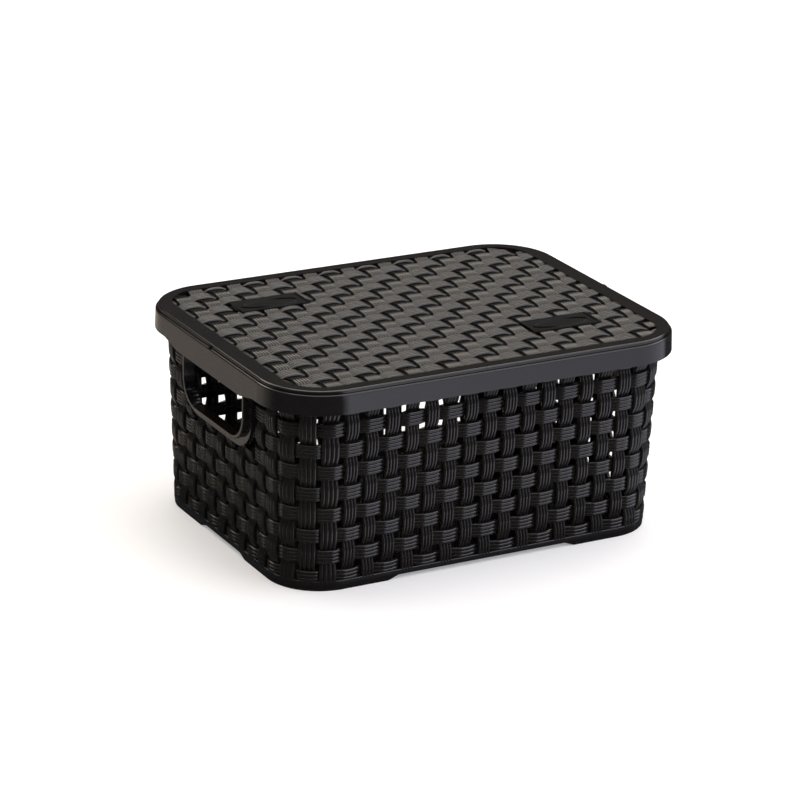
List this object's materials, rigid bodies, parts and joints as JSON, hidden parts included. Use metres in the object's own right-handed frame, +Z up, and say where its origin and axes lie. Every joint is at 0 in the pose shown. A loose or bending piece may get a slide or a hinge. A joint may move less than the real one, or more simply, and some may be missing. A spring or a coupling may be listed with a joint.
{
  "type": "lidded storage basket",
  "caption": "Rectangular lidded storage basket moulded in a basket-weave pattern, with a smooth rim, a hand-hold in each short side and a lift-off lid.",
  "frame": {"origin": "centre of the footprint on the floor, below the lid's centre", "axes": "+Z up; X along the long side, with the hand-holds facing -X and +X; the front long wall faces -Y"},
  "size_m": [0.2938, 0.2254, 0.137],
  "materials": {
    "woven_wall": "dark espresso plastic, satin, finely ribbed like split cane",
    "woven_lid": "dark espresso plastic, satin, finely ribbed like split cane",
    "smooth_basket": "dark espresso plastic, smooth satin",
    "smooth_lid": "dark espresso plastic, smooth satin"
  },
  "bodies": {
    "basket": {"basket_floor": "smooth_basket", "base_band": "smooth_basket", "corner_feet": "smooth_basket", "front_wall": "woven_wall", "back_wall": "woven_wall", "left_wall": "woven_wall", "right_wall": "woven_wall", "front_left_corner": "woven_wall", "front_right_corner": "woven_wall", "back_left_corner": "woven_wall", "back_right_corner": "woven_wall", "rim_band": "smooth_basket", "left_handle_frame": "smooth_basket", "right_handle_frame": "smooth_basket"},
    "lid": {"lid_border": "smooth_lid", "lid_weave_panel": "woven_lid", "lid_locating_rib": "smooth_lid", "lid_centre_tabs": "smooth_lid", "rear_plaque": "smooth_lid", "front_plaque": "smooth_lid"}
  },
  "joints": [
    {"name": "lid_lift", "type": "slide", "parent": "basket", "child": "lid", "axis": [0, 0, 1], "range_m": [0, 0.16]}
  ]
}
